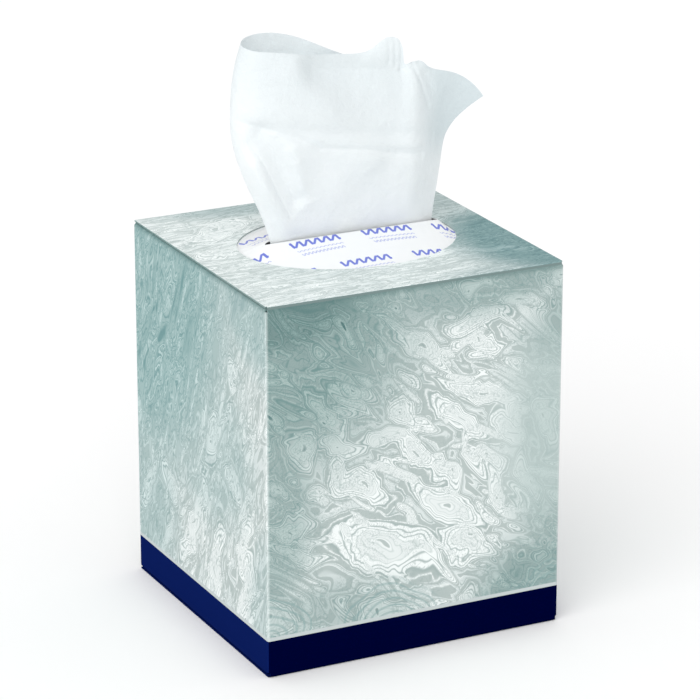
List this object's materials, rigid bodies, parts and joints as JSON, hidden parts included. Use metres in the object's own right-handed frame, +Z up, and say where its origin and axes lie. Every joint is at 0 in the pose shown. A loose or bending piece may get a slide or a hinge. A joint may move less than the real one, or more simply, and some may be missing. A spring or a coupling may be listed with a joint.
{
  "type": "tissue box",
  "caption": "Upright paperboard tissue box with an oval opening, a slit film window, a bent clip of tissues and one pulled up",
  "frame": {"origin": "middle of the box's base, on the surface it stands on", "axes": "+X along the broad front face to the right, +Y from the front face to the back, +Z up"},
  "size_m": [0.111, 0.108, 0.2053],
  "materials": {
    "printed_board": "satin",
    "printed_film": "satin",
    "tissue": "matte"
  },
  "bodies": {
    "root": {"carton": "printed_board", "film_window": "printed_film", "tissue_clip": "tissue", "pulled_tissue": "tissue"}
  },
  "joints": []
}
